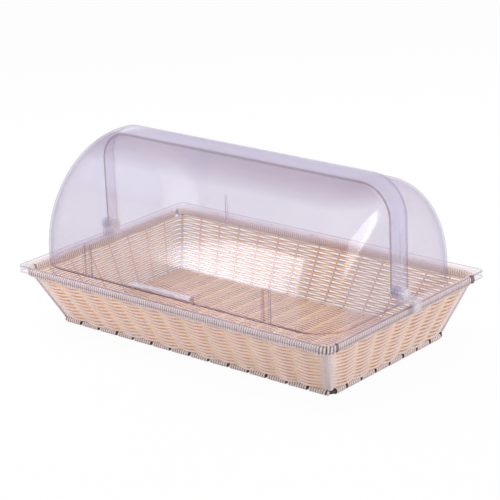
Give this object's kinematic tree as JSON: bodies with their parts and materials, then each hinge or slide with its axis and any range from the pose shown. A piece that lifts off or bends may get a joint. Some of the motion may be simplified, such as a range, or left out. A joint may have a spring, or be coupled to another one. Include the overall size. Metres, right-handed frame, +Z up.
{
  "type": "countertop bread display bin",
  "caption": "Woven basket bread bin with a clear barrel-shaped roll-top cover, for showing and serving bread on a counter.",
  "frame": {"origin": "on the table under the middle of the basket", "axes": "+X along the long side, to the right as seen from the front; +Z up; the opening hood and its finger lip face -Y"},
  "size_m": [0.568, 0.35, 0.2647],
  "materials": {
    "weave": "satin",
    "winding": "satin",
    "dark_wire": "satin",
    "clear_plastic": "gloss",
    "pivot_plastic": "gloss"
  },
  "bodies": {
    "basket": {"top_rim_rod": "dark_wire", "foot_rim_rod": "dark_wire", "base_stakes": "dark_wire", "stakes_front": "dark_wire", "stakes_back": "dark_wire", "stakes_left": "dark_wire", "stakes_right": "dark_wire", "corner_post_front_left": "dark_wire", "corner_post_front_right": "dark_wire", "corner_post_back_left": "dark_wire", "corner_post_back_right": "dark_wire", "woven_floor": "weave", "woven_wall_front": "weave", "woven_wall_back": "weave", "woven_wall_left": "weave", "woven_wall_right": "weave", "rim_binding_front": "winding", "rim_binding_back": "winding", "rim_binding_left": "winding", "rim_binding_right": "winding", "foot_binding_front": "winding", "foot_binding_back": "winding", "foot_binding_left": "winding", "foot_binding_right": "winding"},
    "cover": {"cover_frame": "clear_plastic", "rear_hood": "clear_plastic", "hinge_bracket_left": "clear_plastic", "hinge_bracket_right": "clear_plastic", "pivot_pin_left": "pivot_plastic", "pivot_pin_right": "pivot_plastic", "pivot_spacer_left": "pivot_plastic", "pivot_spacer_right": "pivot_plastic", "pivot_cap_left": "pivot_plastic", "pivot_cap_right": "pivot_plastic"},
    "front_hood": {"front_hood": "clear_plastic"}
  },
  "joints": [
    {"name": "cover_lift_off", "type": "slide", "parent": "basket", "child": "cover", "axis": [0, 0, 1], "range_m": [0, 0.1]},
    {"name": "hood_opening", "type": "hinge", "parent": "cover", "child": "front_hood", "pos_m": [0, 0, 0.109], "axis": [-1, 0, 0], "range_deg": [0, 89]}
  ]
}
